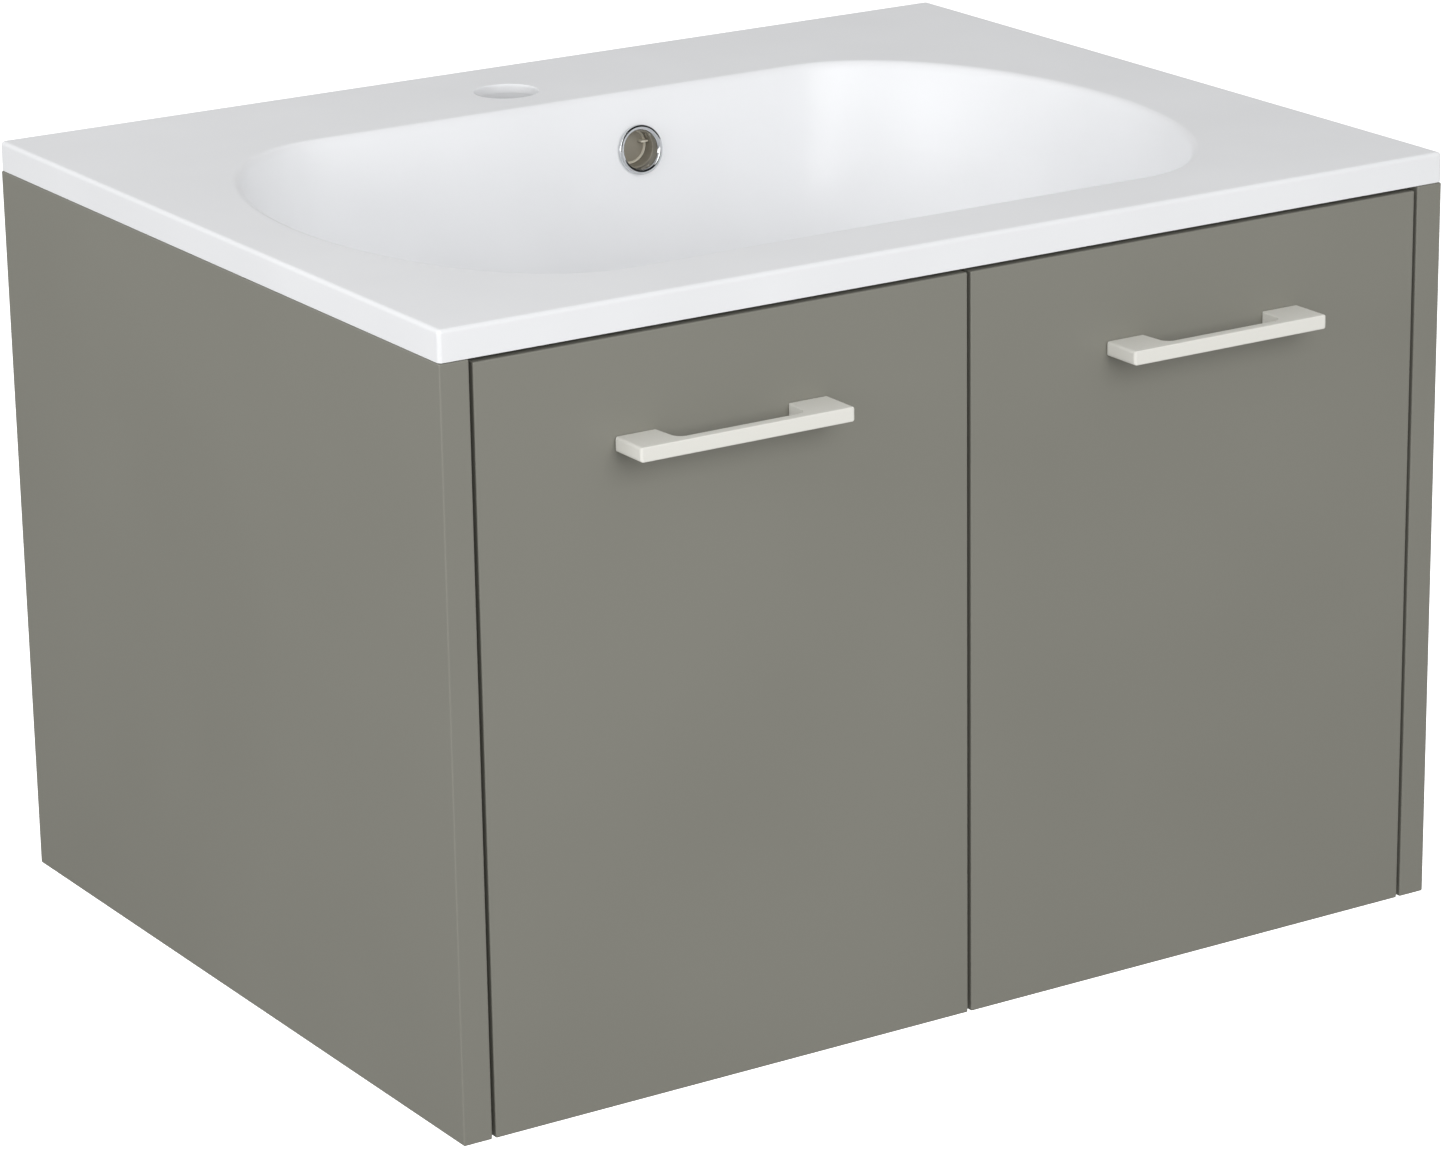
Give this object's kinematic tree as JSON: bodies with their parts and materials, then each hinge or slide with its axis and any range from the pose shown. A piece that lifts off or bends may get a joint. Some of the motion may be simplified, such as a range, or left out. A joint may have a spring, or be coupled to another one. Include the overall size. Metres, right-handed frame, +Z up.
{
  "type": "bathroom vanity cabinet",
  "caption": "Wall-hung bathroom vanity cabinet with a one-piece washbasin top, hinged doors, bow handles, a tap hole, an overflow and a push-down waste.",
  "frame": {"origin": "middle of the hanging rail's rear face, which meets the wall", "axes": "+X to the right of someone facing the doors, +Y into the wall, +Z up"},
  "size_m": [0.6, 0.494, 0.411],
  "materials": {
    "lacquered_board": "satin lacquer on medium-density fibreboard",
    "mineral_cast": "white mineral cast with a satin gel coat",
    "satin_nickel": "satin nickel plate",
    "chrome_trim": "polished chrome plate",
    "hinge_steel": "nickel-plated steel pressing",
    "grey_plastic": "moulded grey polypropylene",
    "white_plastic": "moulded white plastic",
    "seal_rubber": "moulded rubber",
    "bumper_plastic": "clear soft bumper"
  },
  "bodies": {
    "cabinet": {"side_panel_left": "lacquered_board", "hanger_housing_left": "white_plastic", "hanger_hook_left": "hinge_steel", "door_bumper_left": "bumper_plastic", "hinge_arm_left_lower": "hinge_steel", "hinge_plate_left_lower": "hinge_steel", "hinge_arm_left_upper": "hinge_steel", "hinge_plate_left_upper": "hinge_steel", "side_panel_right": "lacquered_board", "hanger_housing_right": "white_plastic", "hanger_hook_right": "hinge_steel", "door_bumper_right": "bumper_plastic", "hinge_arm_right_lower": "hinge_steel", "hinge_plate_right_lower": "hinge_steel", "hinge_arm_right_upper": "hinge_steel", "hinge_plate_right_upper": "hinge_steel", "bottom_panel": "lacquered_board", "back_rail_lower": "lacquered_board", "back_rail_upper": "lacquered_board", "front_rail": "lacquered_board", "washbasin_top": "mineral_cast", "washbasin_bowl": "mineral_cast", "overflow_ring": "chrome_trim", "waste_body": "chrome_trim", "overflow_elbow": "grey_plastic", "overflow_collar": "grey_plastic", "overflow_pipe": "grey_plastic", "waste_nut": "grey_plastic", "waste_seal": "seal_rubber", "waste_cartridge": "white_plastic"},
    "left_hinge_links": {"hinge_link_left_lower": "hinge_steel", "hinge_link_left_upper": "hinge_steel"},
    "door_left": {"door_left": "lacquered_board", "handle_left": "satin_nickel", "handle_screw_left_1": "hinge_steel", "handle_screw_left_2": "hinge_steel", "hinge_cup_left_lower": "hinge_steel", "hinge_pin_left_lower": "hinge_steel", "hinge_cup_left_upper": "hinge_steel", "hinge_pin_left_upper": "hinge_steel"},
    "right_hinge_links": {"hinge_link_right_lower": "hinge_steel", "hinge_link_right_upper": "hinge_steel"},
    "door_right": {"door_right": "lacquered_board", "handle_right": "satin_nickel", "handle_screw_right_1": "hinge_steel", "handle_screw_right_2": "hinge_steel", "hinge_cup_right_lower": "hinge_steel", "hinge_pin_right_lower": "hinge_steel", "hinge_cup_right_upper": "hinge_steel", "hinge_pin_right_upper": "hinge_steel"},
    "waste_plug_body": {"waste_plug": "chrome_trim"}
  },
  "joints": [
    {"name": "left_links_slide", "type": "slide", "parent": "cabinet", "child": "left_hinge_links", "axis": [0, -1, 0], "range_m": [0, 0.034]},
    {"name": "left_door_hinge", "type": "hinge", "parent": "left_hinge_links", "child": "door_left", "pos_m": [-0.268, -0.461, 0], "axis": [0, 0, -1], "range_deg": [0, 95]},
    {"name": "right_links_slide", "type": "slide", "parent": "cabinet", "child": "right_hinge_links", "axis": [0, -1, 0], "range_m": [0, 0.034]},
    {"name": "right_door_hinge", "type": "hinge", "parent": "right_hinge_links", "child": "door_right", "pos_m": [0.268, -0.461, 0], "axis": [0, 0, 1], "range_deg": [0, 95]},
    {"name": "waste_plug_slide", "type": "slide", "parent": "cabinet", "child": "waste_plug_body", "axis": [0, 0, 1], "range_m": [0, 0.007]}
  ],
  "couplings": [
    {"joint": "left_links_slide", "follows": "left_door_hinge", "m_per_rad": 0.02},
    {"joint": "right_links_slide", "follows": "right_door_hinge", "m_per_rad": 0.02}
  ]
}
